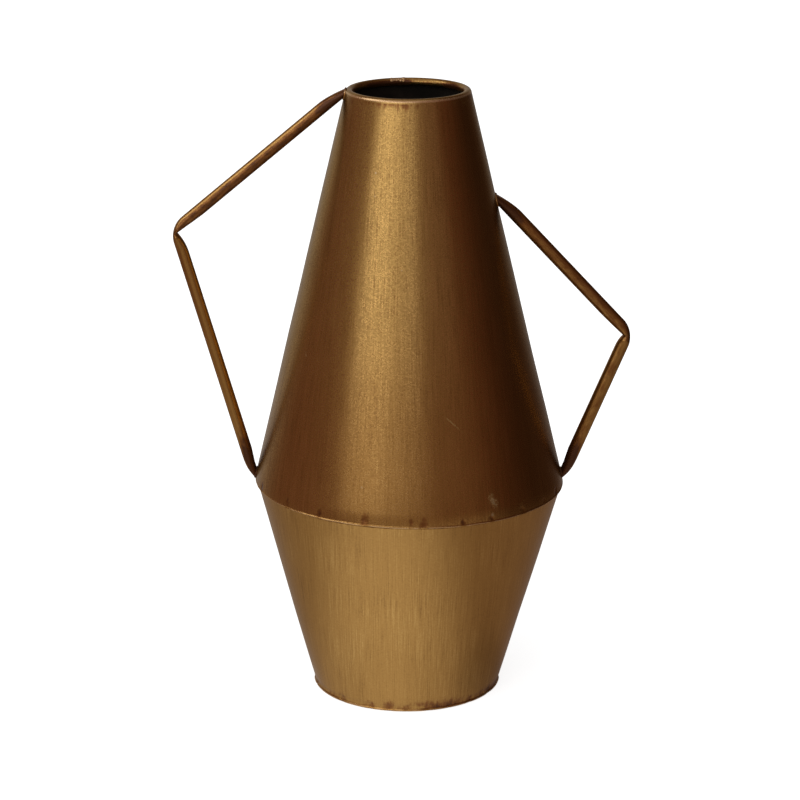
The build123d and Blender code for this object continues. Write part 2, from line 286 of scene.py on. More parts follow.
def rolled_sheet_tree():
    """Geometry nodes that roll a sheet's section round the axis, dent it at its punch marks and leave it as
    uneven as hand work."""
    sockets = {
        "Section": "Geometry",
        "Segments": "Int",
        "Punch Marks": "Object",
        "Punch Depth": "Float",
        "Smudge": "Float",
        "Unevenness": "Float",
        "Lip Waver": "Float",
        "Belly Rise": "Float",
        "Belly Tilt": "Float",
        "Brush Lean": "Float",
        "Lacquer": "Material",
        "Lining": "Material",
    }
    tree, given = new_tree("rolled_sheet", sockets, "Sheet")
    section = given["Section"]
    rows = node(tree, "GeometryNodeAttributeDomainSize", {"Geometry": section}).outputs["Point Count"]
    tall = whole(tree, "ADD", rows, 1)
    wide = whole(tree, "ADD", given["Segments"], 1)
    grid = node(tree, "GeometryNodeMeshGrid", {"Vertices X": wide, "Vertices Y": tall}).outputs["Mesh"]
    index = result(tree, "GeometryNodeInputIndex")
    position = result(tree, "GeometryNodeInputPosition")
    point = whole(tree, "MODULO", whole(tree, "MODULO", index, tall), rows)
    share = calc(tree, "DIVIDE", whole(tree, "DIVIDE_FLOOR", index, tall), given["Segments"])
    turn = calc(tree, "MULTIPLY_ADD", share, 2 * pi, radians(SEAM_AZIMUTH))
    profile = parts_of(tree, sampled(tree, section, position, point, "FLOAT_VECTOR"))
    along, stain, lip, belly, sway, inside = [
        sampled(tree, section, named(tree, name), point)
        for name in ("along", "stain", "lip", "belly", "sway", "inside")
    ]
    out_x = calc(tree, "COSINE", turn)
    out_y = calc(tree, "SINE", turn)
    outward = place_of(tree, out_x, out_y)
    spun = vector_calc(tree, "SCALE", outward, scale=profile[0])
    spun = vector_calc(tree, "ADD", spun, place_of(tree, z=profile[2]))

    marks = node(tree, "GeometryNodeObjectInfo", {"Object": given["Punch Marks"]}).outputs["Geometry"]
    feeds = {"Vector": spun, "Scale": 420.0, "Detail": 1.0}
    ragged = node(tree, "ShaderNodeTexNoise", feeds).outputs["Color"]
    ragged = vector_calc(tree, "SUBTRACT", ragged, (0.5, 0.5, 0.5))
    felt = vector_calc(tree, "ADD", spun, vector_calc(tree, "SCALE", ragged, scale=MARK_RAGGEDNESS))
    nearest = result(tree, "GeometryNodeSampleNearest", {"Geometry": marks, "Sample Position": felt})
    centre = sampled(tree, marks, position, nearest, "FLOAT_VECTOR")
    reach = sampled(tree, marks, named(tree, "reach"), nearest)
    away = calc(tree, "DIVIDE", vector_calc(tree, "DISTANCE", felt, centre), reach)
    dent = spread(tree, away, 0.15, 1.0, 1, 0)
    run_up = vector_calc(tree, "MULTIPLY", vector_calc(tree, "SUBTRACT", felt, centre), SMUDGE_SHAPE)
    run_up = calc(tree, "DIVIDE", vector_calc(tree, "LENGTH", run_up), reach)
    smudge = calc(tree, "MULTIPLY", spread(tree, run_up, 0.2, 1.6, 1, 0), given["Smudge"])

    slow = calc(tree, "SUBTRACT", noise(tree, spun, 14.0, 1.0), 0.5)
    quick = calc(tree, "SUBTRACT", noise(tree, spun, 90.0), 0.5)
    shift = calc(tree, "MULTIPLY", slow, given["Unevenness"])
    shift = calc(tree, "SUBTRACT", shift, calc(tree, "MULTIPLY", dent, given["Punch Depth"]))
    waver = calc(tree, "MULTIPLY", calc(tree, "MULTIPLY", quick, given["Lip Waver"]), lip)
    tilt = calc(tree, "MULTIPLY", out_x, given["Belly Tilt"])
    tilt = calc(tree, "SUBTRACT", given["Belly Rise"], tilt)
    lift = calc(tree, "MULTIPLY_ADD", belly, tilt, waver)
    moved = vector_calc(tree, "SCALE", outward, scale=shift)
    moved = vector_calc(tree, "ADD", moved, place_of(tree, x=sway, z=lift))
    moved = vector_calc(tree, "ADD", moved, spun)

    around = calc(tree, "MULTIPLY", calc(tree, "SUBTRACT", turn, FRONT), BRUSH_RADIUS)
    leant = calc(tree, "MULTIPLY", calc(tree, "MULTIPLY", out_x, along), given["Brush Lean"])
    brush = place_of(tree, calc(tree, "ADD", around, leant), along)
    # Stains and punch-mark smudges, which in places are painted shade, and below 0 rubbed bright edges,
    # which in places are painted highlights.
    patches = spread(tree, noise(tree, spun, 45.0), 0.4, 0.6, 0.3, 1.2)
    stains_and_painted_shade = calc(tree, "MULTIPLY", calc(tree, "MAXIMUM", stain, 0.0), patches)
    stains_and_painted_shade = calc(tree, "MAXIMUM", smudge, stains_and_painted_shade)
    patina = calc(tree, "ADD", stains_and_painted_shade, calc(tree, "MINIMUM", stain, 0.0))
    sheet = stored(tree, grid, "brush", brush, "FLOAT_VECTOR")
    sheet = stored(tree, sheet, "patina", patina)
    sheet = stored(tree, sheet, "inside", inside)
    sheet = skinned(tree, sheet, moved, given["Lacquer"])
    lined = calc(tree, "GREATER_THAN", named(tree, "inside"), 0.5)
    feeds = {"Geometry": sheet, "Selection": lined, "Material": given["Lining"]}
    node(tree, "NodeGroupOutput", {0: result(tree, "GeometryNodeSetMaterial", feeds)})
    return tree


def point_mesh(name, points, **values):
    """An object of bare points in metres, joined in order, with a value for each point under each name."""
    mesh = bpy.data.meshes.new(name)
    mesh.from_pydata(points, [(k, k + 1) for k in range(len(points) - 1)], [])
    for value_name, numbers in values.items():
        vectors = isinstance(numbers[0], (tuple, Vector))
        kept = mesh.attributes.new(value_name, "FLOAT_VECTOR" if vectors else "FLOAT", "POINT")
        flat = [x for number in numbers for x in number] if vectors else numbers
        kept.data.foreach_set("vector" if vectors else "value", flat)
    made = bpy.data.objects.new(name, mesh)
    bpy.context.scene.collection.objects.link(made)
    return made


def grown(tree, source, name, **inputs):
    """The plain mesh piece that a tree makes of a source object. The source and its modifier go."""
    modifier = source.modifiers.new(tree.name, "NODES")
    modifier.node_group = tree
    for socket in tree.interface.items_tree:
        if socket.in_out == "INPUT" and socket.name in inputs:
            modifier[socket.identifier] = inputs[socket.name]
    bpy.context.view_layer.update()
    graph = bpy.context.evaluated_depsgraph_get()
    mesh = bpy.data.meshes.new_from_object(source.evaluated_get(graph), depsgraph=graph)
    mesh.name = name
    bpy.data.objects.remove(source)
    piece = bpy.data.objects.new(name, mesh)
    bpy.context.scene.collection.objects.link(piece)
    return piece


def punch_marks(name, radius, height, azimuths, step, size):
    """Where the skirt is punched: as the photograph shows it in front, and evenly over the hidden rest.
    Sines of the marks' numbers scatter them."""
    first_shown, last_shown = SHOWN_AZIMUTHS
    hidden = [a for a in range(-180, 180, step) if not first_shown < a < last_shown]
    points, reaches = [], []
    for k, azimuth in enumerate([*azimuths, *hidden]):
        angle = radians(azimuth - 90)
        lift = height + MARK_WAVER * sin(7.0 * k)
        points.append((radius * cos(angle) / 1000, radius * sin(angle) / 1000, lift / 1000))
        reaches.append(size * (1 + MARK_SPREAD * sin(3.7 * k)) / 1000)
    return point_mesh(name, points, reach=reaches)


def sheet_section(name, outer, inner, stains_and_painted_light, lip):
    """A sheet's section, up its outer face and down its inner face. Each point has its run along the
    outline, its stain, which also carries painted shade and painted highlights, its shares of the lip's
    waver and the belly's lean, and its sway to the right. A stain has a place, a strength, which is below 0
    on a rubbed edge and on a painted highlight, and a reach."""
    outline = [*outer, *inner]
    along = [0.0]
    for before, after in zip(outline, outline[1:]):
        along.append(along[-1] + dist(before, after) / 1000)
    stain = []
    for point in outline:
        shares = [much * max(0.0, 1 - dist(spot, point) / reach) for spot, much, reach in stains_and_painted_light]
        stain.append(max(shares) + min(shares))
    wavers, leans, sways = [], [], []
    for _, height in outline:
        wavers.append(max(0.0, 1 - abs(height - lip) / LIP_REACH))
        leans.append(max(0.0, 1 - abs(height - BELLY_HEIGHT) / LEAN_REACH))
        sways.append(BELLY_SWAY * leans[-1] + FOOT_SWAY * max(0.0, 1 - height / LEAN_REACH))
    return point_mesh(
        name,
        [(radius / 1000, 0.0, height / 1000) for radius, height in outline],
        along=along,
        stain=stain,
        lip=wavers,
        belly=leans,
        sway=sways,
        inside=[0.0] * len(outer) + [1.0] * len(inner),
    )


PAST_ANY_PIECE = (1.0, 2.0)  # metres: a run that no piece has, so the lacquer stays reddish
# Darker brown towards the bottom of the skirt, a rubbed bright line along the bead that stands on the
# table, and painted shadow on the collar's top, under the upper cone's lip.
LOWER_STAINS_AND_PAINTED_LIGHT = [((61.6, 0.5), 0.65, 11.0), ((62.05, 0.9), -1.3, 0.8), ((99.5, 138.7), 0.95, 1.0)]
FOOT_BEND = (63.0, 5.0)  # centre of the inner face's bend into the skirt
FOOT_BEND_RADIUS = 2.8
COLLAR_BEND = (96.8, 139.0)  # and into the collar
COLLAR_BEND_RADIUS = 2.0

rolled_sheet = rolled_sheet_tree()
lacquer = gold_lacquer("gold_lacquer", sparkle=0.5, ripe=PAST_ANY_PIECE)
skirt_low = (61.5, 1.8)
skirt_high = (61.65, 3.2)
foot_outer = (62.35, 5.0)
over_foot = (66.35, 19.0)
below_shoulder = (98.95, 135.2)
shoulder_outer = (99.8, 138.1)
foot_inner = on_arc(FOOT_BEND, FOOT_BEND_RADIUS, 180 - LOWER_TILT)
collar_inner = on_arc(COLLAR_BEND, COLLAR_BEND_RADIUS, -LOWER_TILT)
lower_outer = [
    # the rounded bead that stands on the table
    (61.3, 0.0),
    (61.85, 0.12),
    (62.1, 0.4),
    (62.1, 0.75),
    (61.95, 1.1),
    (61.65, 1.45),
    # the skirt
    skirt_low,
    *straight(skirt_low, skirt_high, 5),
    skirt_high,
    (61.8, 3.8),
    (62.05, 4.4),
    # the wall, swollen over the foot
    foot_outer,
    *straight(foot_outer, over_foot, 12),
    over_foot,
    *straight(over_foot, below_shoulder, 26),
    *straight(below_shoulder, shoulder_outer, 8),
    shoulder_outer,
    # the collar
    (99.76, 138.5),
    (99.66, 138.9),
    (99.6, 140.5),
    (99.6, 142.5),
]
lower_inner = [
    (98.9, 142.5),
    (98.8, 140.5),
    *bend(COLLAR_BEND, COLLAR_BEND_RADIUS, 0, -LOWER_TILT, 4),
    *straight(collar_inner, foot_inner, 8),
    *bend(FOOT_BEND, FOOT_BEND_RADIUS, 180 - LOWER_TILT, 180, 4),
    (60.2, 3.0),
    (60.3, 0.0),
]
base_marks = punch_marks(
    "base_marks", radius=61.6, height=1.8, azimuths=BASE_MARK_AZIMUTHS, step=15, size=4.0
)
both_cones = {
    "Segments": 720,
    "Punch Depth": 0.0003,
    "Unevenness": 0.0006,
    "Belly Rise": BELLY_RISE,
    "Belly Tilt": BELLY_TILT,
    "Lining": dark_lining(),
}
lower_cone = grown(
    rolled_sheet,
    sheet_section("lower_section", lower_outer, lower_inner, LOWER_STAINS_AND_PAINTED_LIGHT, lip=0.0),
    "lower_cone_skin",
    **both_cones,
    **{"Punch Marks": base_marks, "Smudge": 0.5, "Lip Waver": 0.0, "Brush Lean": 0.26, "Lacquer": lacquer},
)
bpy.data.objects.remove(base_marks)
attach(lower_cone, "root")
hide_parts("lower_cone")

# The lower cone's lengthwise weld: a hand-run bead of overlapping ripples down the hidden back, painted
# over with the sheet. It closes the gap between the sheet's edges.
LOWER_SEAM_PITCH = 0.0022  # metres from one ripple to the next
LOWER_SEAM_START = (62.7, 6.5)  # just over the skirt


def weld_tree():
    """Geometry nodes that lay ripples of weld metal along a path, each a little different. The path's
    points say which way the ripples face and how far each is rubbed bare."""
    sockets = {
        "Path": "Geometry",
        "Pitch": "Float",
        "Width": "Float",
        "Height": "Float",
        "Patina": "Float",
        "Seed": "Int",
        "Lacquer": "Material",
    }
    tree, given = new_tree("weld_ripples", sockets, "Weld")
    curve = result(tree, "GeometryNodeMeshToCurve", {0: given["Path"]})
    feeds = {"Curve": curve, "Length": given["Pitch"]}
    curve = result(tree, "GeometryNodeResampleCurve", feeds, mode="LENGTH")
    tangent = result(tree, "GeometryNodeInputTangent")
    feeds = {"Primary Axis": named(tree, "facing", "FLOAT_VECTOR"), "Secondary Axis": tangent}
    facing = result(tree, "FunctionNodeAxesToRotation", feeds, primary_axis="Z", secondary_axis="X")
    ball = node(tree, "GeometryNodeMeshIcoSphere", {"Radius": 1.0, "Subdivisions": 2}).outputs["Mesh"]

    def uneven(size, low, high, offset):
        """A ripple's size, more or less."""
        feeds = {2: low, 3: high, "Seed": whole(tree, "ADD", given["Seed"], offset)}
        share = node(tree, "FunctionNodeRandomValue", feeds, data_type="FLOAT").outputs[1]
        return calc(tree, "MULTIPLY", size, share)

    size = place_of(
        tree,
        uneven(given["Pitch"], 0.85, 1.25, 0),
        uneven(given["Width"], 0.7, 1.15, 1),
        uneven(given["Height"], 0.7, 1.2, 2),
    )
    feeds = {"Points": curve, "Instance": ball, "Rotation": facing, "Scale": size}
    weld = result(tree, "GeometryNodeInstanceOnPoints", feeds)
    weld = result(tree, "GeometryNodeRealizeInstances", {"Geometry": weld})
    place = result(tree, "GeometryNodeInputPosition")
    patches = calc(tree, "MULTIPLY", noise(tree, place, 330.0, 1.0), 2.0)
    patina = calc(tree, "MULTIPLY", given["Patina"], patches)
    patina = calc(tree, "SUBTRACT", patina, named(tree, "wear"))
    weld = stored(tree, weld, "brush", place, "FLOAT_VECTOR")
    weld = stored(tree, weld, "patina", patina)
    weld = result(tree, "GeometryNodeSetShadeSmooth", {"Geometry": weld})
    feeds = {"Geometry": weld, "Material": given["Lacquer"]}
    node(tree, "NodeGroupOutput", {0: result(tree, "GeometryNodeSetMaterial", feeds)})
    return tree


def seam_point(radius, height):
    """A point of the lengthwise seams, from millimetres."""
    angle = radians(SEAM_AZIMUTH)
    return (radius * cos(angle) / 1000, radius * sin(angle) / 1000, height / 1000)


def run_weld(name, path, facing, wear, **sizes):
    """A weld run along a path, whose points each have a way to face and a share of wear."""
    points = point_mesh(f"{name}_path", path, facing=facing, wear=wear)
    return grown(weld_ripples, points, name, Lacquer=lacquer, **sizes)


weld_ripples = weld_tree()
seam_out = Vector((cos(radians(SEAM_AZIMUTH)), sin(radians(SEAM_AZIMUTH)), 0))
lower_facing = seam_out * cos(radians(LOWER_TILT)) - Vector((0, 0, sin(radians(LOWER_TILT))))
lower_path = [seam_point(*LOWER_SEAM_START), seam_point(*over_foot), seam_point(*below_shoulder)]
lower_seam = run_weld(
    "lower_seam_bead",
    lower_path,
    facing=[lower_facing] * len(lower_path),
    wear=[0.0] * len(lower_path),
    Pitch=LOWER_SEAM_PITCH,
    Width=0.0016,
    Height=0.0007,
    Patina=0.35,
    Seed=3,
)
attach(lower_seam, "root")
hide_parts("lower_seam_weld")

# The base pan: a flat pressed disc of the same sheet with an upturned collar, soldered inside the lower
# cone's skirt. Its underside is plain dark brown paint, rubbed where it has been slid about.
PAINT_DARK = (0.045, 0.03, 0.018, 1)
PAINT_DUSTY = (0.085, 0.06, 0.04, 1)
PAINT_RUBBED = (0.2, 0.16, 0.12, 1)


def dark_paint():
    """Thin dark brown paint, with pale rubbed scratches and dusty patches."""
    material, tree, shader, place = new_finish("dark_paint")
    clouds = noise(tree, place, 40.0, 4.0, 0.6)
    rubs = noise(tree, stretched(tree, place, (900, 40, 40)), 1.0)
    colour = mottled(tree, clouds, PAINT_DARK, PAINT_DUSTY)
    colour = blend(tree, spread(tree, rubs, 0.66, 0.8, 0, 0.6), colour, PAINT_RUBBED)
    rough = spread(tree, rubs, 0.3, 0.8, 0.45, 0.62)
    bump = result(tree, "ShaderNodeBump", {"Height": clouds, "Strength": 0.4, "Distance": 0.0001})
    feed(tree, shader, {"Base Color": colour, "Roughness": rough, "Normal": bump})
    return material


def finish_node(name, material):
    """A carried-over node takes a finished material."""
    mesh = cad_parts[name].data
    mesh.materials.clear()
    mesh.materials.append(material)


finish_node("base_pan", dark_paint())

# The solder: dull grey fillets run round the inside of both slip joints, which seal the vase. They are left
# bare and are only seen from inside.
SOLDER_DULL = (0.3, 0.3, 0.29, 1)
SOLDER_BRIGHT = (0.52, 0.52, 0.5, 1)


def dull_solder():
    """Grey solder, frosted and a little uneven."""
    material, tree, shader, place = new_finish("solder")
    frost = noise(tree, place, 500.0, 3.0, 0.6)
    runs = noise(tree, place, 70.0)
    colour = mottled(tree, runs, SOLDER_DULL, SOLDER_BRIGHT)
    rough = spread(tree, frost, 0.3, 0.7, 0.32, 0.55)
    bump = result(tree, "ShaderNodeBump", {"Height": runs, "Strength": 0.6, "Distance": 0.0004})
    feed(tree, shader, {"Base Color": colour, "Roughness": rough, "Metallic": 0.9, "Normal": bump})
    return material


solder = dull_solder()
finish_node("base_solder", solder)
finish_node("belly_solder", solder)

# The upper cone: one rolled sheet from the mouth to the belly. Its top edge is curled in round a wire, and
# its lower edge is turned down into a skirt that is punched on to the lower cone's collar.
UPPER_TILT = 13.336  # degrees that the wall leans in
BELLY_MARK_AZIMUTHS = (-50.6, -34.4, -16.2, 0.7, 5.2, 19.7, 31.0, 46.0, 59.8, 71.0)
BELLY_FLARE = (28.0, 131.38)  # centre of the arc that the wall flares out on, over the lip
BELLY_FLARE_RADIUS = 73.3
BELLY_FLARE_START = 6.5  # degrees
SKIRT_BEND = (97.7, 143.0)  # centre of the inner face's bend into the skirt
SKIRT_BEND_RADIUS = 2.0
CURL = (37.6, 397.4)  # centre of the curl's section
CURL_TURN = 285  # degrees
CURL_RADIUS = 2.6
CURL_INSIDE = 1.85
THROAT_RADIUS = 1.8  # where the inner face leaves the curl
RIM_BAND = 10.0
# The lip, rubbed bright, which also carries a painted highlight; a thin dark line over it; brown round the
# rim; a rubbed line along the curl's top, which also carries a painted highlight; and painted shade on the
# curl's inner side, towards the inside of the vase.
UPPER_STAINS_AND_PAINTED_LIGHT = [
    ((101.2, 139.2), -0.5, 0.7),
    ((100.8, 140.1), 0.4, 0.6),
    ((40.3, 397.2), 0.45, 7.0),
    ((39.9, 398.6), -1.4, 1.3),
    ((34.9, 397.3), 1.1, 2.9),
]
SCUFFED_BROWN = (0.3, 0.2, 0.12, 1)
SCUFFED_TAN = (0.32, 0.22, 0.14, 1)
SCRATCHED_GOLD = (0.4, 0.26, 0.12, 1)
SCRATCHED_PALE = (0.5, 0.38, 0.24, 1)
CHIPPED_PALE = (0.8, 0.66, 0.45, 1)
CHIPPED_GOLD = (0.8, 0.6, 0.38, 1)
Scuff = namedtuple("Scuff", "middle half_width half_length turn colour")  # metres round and along, radians
SCUFFS = (
    Scuff((0.042, 0.0143), 0.0024, 0.0062, 0.3, SCUFFED_BROWN),
    Scuff((0.0412, 0.0058), 0.0014, 0.0018, 0.0, SCUFFED_TAN),
    Scuff((0.0226, 0.0667), 0.0005, 0.0082, 0.69, SCRATCHED_GOLD),
    Scuff((-0.0664, 0.1017), 0.0004, 0.0019, 0.4, SCRATCHED_PALE),
    Scuff((-0.0239, 0.2231), 0.0006, 0.0007, 0.0, CHIPPED_PALE),
    Scuff((-0.0233, 0.2088), 0.0005, 0.0007, 0.0, CHIPPED_PALE),
    Scuff((-0.0038, 0.1635), 0.0006, 0.0006, 0.0, CHIPPED_PALE),
    Scuff((-0.0229, 0.0255), 0.0006, 0.0008, 0.0, CHIPPED_GOLD),
)

scuffed_lacquer = gold_lacquer("gold_lacquer_scuffed", sparkle=1.2, ripe=(0.02, 0.17), scuffs=SCUFFS)
tilt_cos = cos(radians(UPPER_TILT))
tilt_sin = sin(radians(UPPER_TILT))
belly_outer = on_arc(BELLY_FLARE, BELLY_FLARE_RADIUS, UPPER_TILT)
curl_outer = on_arc(CURL, CURL_RADIUS, UPPER_TILT)
belly_inner = on_arc(SKIRT_BEND, SKIRT_BEND_RADIUS, UPPER_TILT)
curl_inner = on_arc(CURL, THROAT_RADIUS, UPPER_TILT)
below_rim = (curl_outer[0] + RIM_BAND * tilt_sin, curl_outer[1] - RIM_BAND * tilt_cos)
upper_outer = [
    # the thin turned lip
    (100.35, 138.8),
    (100.85, 138.8),
    (101.18, 138.98),
    (101.26, 139.25),
    (101.12, 139.58),
    # the wall and the curl
    *bend(BELLY_FLARE, BELLY_FLARE_RADIUS, BELLY_FLARE_START, UPPER_TILT, 14),
    *straight(belly_outer, below_rim, 38),
    below_rim,
    *straight(below_rim, curl_outer, 9),
    *bend(CURL, CURL_RADIUS, UPPER_TILT, UPPER_TILT + CURL_TURN, 30),
]
upper_inner = [
    *bend(CURL, CURL_INSIDE, UPPER_TILT + CURL_TURN, UPPER_TILT, 14),
    *straight(curl_inner, belly_inner, 8),
    *bend(SKIRT_BEND, SKIRT_BEND_RADIUS, UPPER_TILT, 0, 4),
    (99.7, 141.0),
    (99.75, 139.0),
]
belly_marks = punch_marks(
    "belly_marks", radius=100.6, height=142.2, azimuths=BELLY_MARK_AZIMUTHS, step=18, size=2.6
)
upper_cone = grown(
    rolled_sheet,
    sheet_section("upper_section", upper_outer, upper_inner, UPPER_STAINS_AND_PAINTED_LIGHT, lip=BELLY_HEIGHT),
    "upper_cone_skin",
    **both_cones,
    **{
        "Punch Marks": belly_marks,
        "Smudge": 0.62,
        "Lip Waver": 0.0007,
        "Brush Lean": -0.08,
        "Lacquer": scuffed_lacquer,
    },
)
bpy.data.objects.remove(belly_marks)
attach(upper_cone, "root")
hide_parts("upper_cone")

# The rim wire: a ring of bare drawn steel wire that the mouth is curled round. It could be seen only from
# inside the vase, between the curl's edge and the wall.
WIRE_DARK = (0.36, 0.35, 0.33, 1)
WIRE_BRIGHT = (0.54, 0.53, 0.51, 1)
WIRE_RUST = (0.17, 0.075, 0.03, 1)


def drawn_wire():
    """Bare steel wire with fine drawing marks and a little rust."""
    material, tree, shader, place = new_finish("bare_wire")
    marks = noise(tree, stretched(tree, place, (120, 120, 2500)), 1.0)
    rust = noise(tree, place, 180.0, 4.0, 0.65)
    colour = mottled(tree, marks, WIRE_DARK, WIRE_BRIGHT)
    colour = blend(tree, spread(tree, rust, 0.55, 0.7, 0, 0.7), colour, WIRE_RUST)
    rough = spread(tree, marks, 0.3, 0.7, 0.3, 0.5)
    feed(tree, shader, {"Base Color": colour, "Roughness": rough, "Metallic": 0.95})
    return material


finish_node("rim_wire", drawn_wire())

# The upper cone's lengthwise weld: the same hand-run bead up the back, which goes on over the curled rim,
# rubbed bare, and shows as a rough spot at the back of the mouth.
UPPER_SEAM_PITCH = 0.0015
UPPER_SEAM_START = (100.3, 144.2)  # just over the skirt
OVER_CURL_RADIUS = 2.15  # the bead sinks into the curl
OVER_CURL_ANGLES = range(40, 161, 30)  # degrees
RIM_BLOB = (-1.3, 1.7)  # out and up from the curl's centre: where the bead runs out along the rim
RIM_BLOB_FACING = (-0.6, 0.8)  # out and up
RIM_BLOB_AZIMUTHS = range(98, 108, 3)  # degrees from +X
PAINTED_POINTS = 4  # of the bead's path, before those that are rubbed bare
RIM_WEAR = 0.9

upper_path = [seam_point(*UPPER_SEAM_START), seam_point(*curl_outer)]
upper_facing = [seam_out * tilt_cos + Vector((0, 0, tilt_sin))] * 2
for angle in OVER_CURL_ANGLES:
    upper_path.append(seam_point(*on_arc(CURL, OVER_CURL_RADIUS, angle)))
    upper_facing.append(seam_out * cos(radians(angle)) + Vector((0, 0, sin(radians(angle)))))
for azimuth in RIM_BLOB_AZIMUTHS:
    out = Vector((cos(radians(azimuth)), sin(radians(azimuth)), 0))
    upper_path.append((out * (CURL[0] + RIM_BLOB[0]) + Vector((0, 0, CURL[1] + RIM_BLOB[1]))) / 1000)
    upper_facing.append(out * RIM_BLOB_FACING[0] + Vector((0, 0, RIM_BLOB_FACING[1])))
upper_wear = [0.0] * PAINTED_POINTS + [RIM_WEAR] * (len(upper_path) - PAINTED_POINTS)
upper_seam = run_weld(
    "upper_seam_bead",
    upper_path,
    upper_facing,
    upper_wear,
    Pitch=UPPER_SEAM_PITCH,
    Width=0.0016,
    Height=0.0006,
    Patina=0.4,
    Seed=8,
)
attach(upper_seam, "root")
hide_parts("upper_seam_weld")

# The handles: round steel tube folded to a sharp elbow, which creases it on the inner side, and
# flattened at both ends where it meets the cone. They are lacquered with the body.
TUBE_RADIUS = 3.85  # millimetres, as are the handles' other sizes
TUBE_SIDES = 48
ELBOW_RADIUS = 17.0
ELBOW_STEPS = 24
ELBOW_MARGIN = 2.0  # past the bend, before the leg is plain tube
CREASE_TURN = 23.1  # degrees round the elbow from the lower leg to the crease
UPPER_FOLD_RUN = 22.0  # how far up the upper leg the fold opens out
UPPER_FOLD_CURVE = 1.3  # how suddenly it opens
LOWER_FOLD_CURVE = 2.2
LEG_STEP = 6.0
TIP_THICKNESS = 3.6
TAPER_RUN = 20.0
TAPER_STEPS = 12
TOP_TOE = 1.6  # how late the outer side of an end tapers
FOOT_TOE = 3.5
HEEL = 0.9  # how far the inner side of each foot is hammered in
OVERRUN = 3.0  # past the seat, to be cut off along the wall
SEAT_DEPTH = 0.0007  # metres that each end goes into the wall
SEAT_REACH = 0.03  # metres round the seat that the cut reaches
FOOT_HEIGHT = 145.2
WALL_POINT = (100.425, 143.646)  # on the straight outside of the upper cone's wall
PINCH = 0.28  # share of its width that the tube loses at the crease
PINCH_REACH = 0.0028  # metres along the tube, as are the next two reaches
END_BROWN = 1.6  # brown at each end, which is full where it is over 1
END_BROWN_REACH = 0.03
# Painted shade in the crease at the elbow, fading along the tube over the next reach.
CREASE_PAINTED_SHADE = 0.5
CREASE_PAINTED_SHADE_REACH = 0.01
Handle = namedtuple(
    "Handle", "side corner notch fold_run top_height foot_lean upper_brown lower_brown swell"
)
HANDLES = {
    "left": Handle(
        side=-1,
        corner=(149.4, 308.2),
        notch=(148.4, 306.0),
        fold_run=15.0,
        top_height=396.4,
        foot_lean=-0.2,
        upper_brown=0.6,
        lower_brown=0.12,
        swell=0.985,
    ),
    "right": Handle(
        side=1,
        corner=(142.5, 239.6),
        notch=(139.6, 238.2),
        fold_run=9.0,
        top_height=327.8,
        foot_lean=0.8,
        upper_brown=0.42,
        lower_brown=0.36,
        swell=1.07,
    ),
}


def wall_radius(height):
    """The outside of the upper cone's wall at a height, in millimetres."""
    return WALL_POINT[0] - (height - WALL_POINT[1]) * tan(radians(UPPER_TILT))


def creased_tube_tree():
    """Geometry nodes that skin a tube over oval sections set along its path. It is less brown on the outer
    side of its bend, where the brown at its ends and the painted shade at its crease keep about half their
    strength."""
    sockets = {"Stations": "Geometry", "Sides": "Int", "Lacquer": "Material"}
    tree, given = new_tree("creased_tube", sockets, "Tube")
    stations = given["Stations"]
    count = node(tree, "GeometryNodeAttributeDomainSize", {"Geometry": stations}).outputs["Point Count"]
    ring = whole(tree, "ADD", given["Sides"], 1)
    grid = node(tree, "GeometryNodeMeshGrid", {"Vertices X": count, "Vertices Y": ring}).outputs["Mesh"]
    index = result(tree, "GeometryNodeInputIndex")
    station = whole(tree, "DIVIDE_FLOOR", index, ring)
    step = whole(tree, "MODULO", index, ring)
    turn = calc(tree, "MULTIPLY", calc(tree, "DIVIDE", step, given["Sides"]), 2 * pi)
    outside = calc(tree, "COSINE", turn)
    position = result(tree, "GeometryNodeInputPosition")
    middle = sampled(tree, stations, position, station, "FLOAT_VECTOR")
    across = sampled(tree, stations, named(tree, "across", "FLOAT_VECTOR"), station, "FLOAT_VECTOR")
    half_width, along, bruise, shade = [
        sampled(tree, stations, named(tree, name), station)
        for name in ("half_width", "along", "bruise", "shade")
    ]
    sideways = calc(tree, "MULTIPLY", calc(tree, "SINE", turn), half_width)
    place = vector_calc(tree, "ADD", middle, vector_calc(tree, "SCALE", across, scale=outside))
    place = vector_calc(tree, "ADD", place, place_of(tree, y=sideways))
    brush = place_of(tree, calc(tree, "MULTIPLY", turn, TUBE_RADIUS / 1000), along)
    # Full brown away from the outer side of the bend, little on it; the ends' brown and the crease's
    # painted shade keep about half there.
    brown_share = spread(tree, outside, 0.4, 0.72, 1, 0.1)
    bruise = calc(tree, "MULTIPLY", bruise, spread(tree, brown_share, 0, 1, 0.5, 1, "LINEAR"))
    patina = calc(tree, "MAXIMUM", calc(tree, "MULTIPLY", shade, brown_share), bruise)
    tube = stored(tree, grid, "brush", brush, "FLOAT_VECTOR")
    tube = stored(tree, tube, "patina", patina)
    node(tree, "NodeGroupOutput", {0: skinned(tree, tube, place, given["Lacquer"])})
    return tree


def handle_legs(plan):
    """A handle's corner and both its legs in its own plane, x away from the vase. A leg is its seat, the
    direction down the tube from the corner, and the direction to the outer side of the bend."""
    corner = Vector(plan.corner)
    top = Vector((wall_radius(plan.top_height), plan.top_height))
    foot = Vector((wall_radius(FOOT_HEIGHT) + plan.foot_lean, FOOT_HEIGHT))
    away = corner - (top + foot) / 2
    legs = []
    for seat in (top, foot):
        run = seat - corner
        ahead = run.normalized()
        outside = (away - ahead * ahead.dot(away)).normalized()
        lean = asin((TUBE_RADIUS - TIP_THICKNESS / 2) / run.length)
        along = ahead * cos(lean) + outside * sin(lean)
        across = outside * cos(lean) - ahead * sin(lean)
        legs.append((seat, along, across))
    return corner, legs


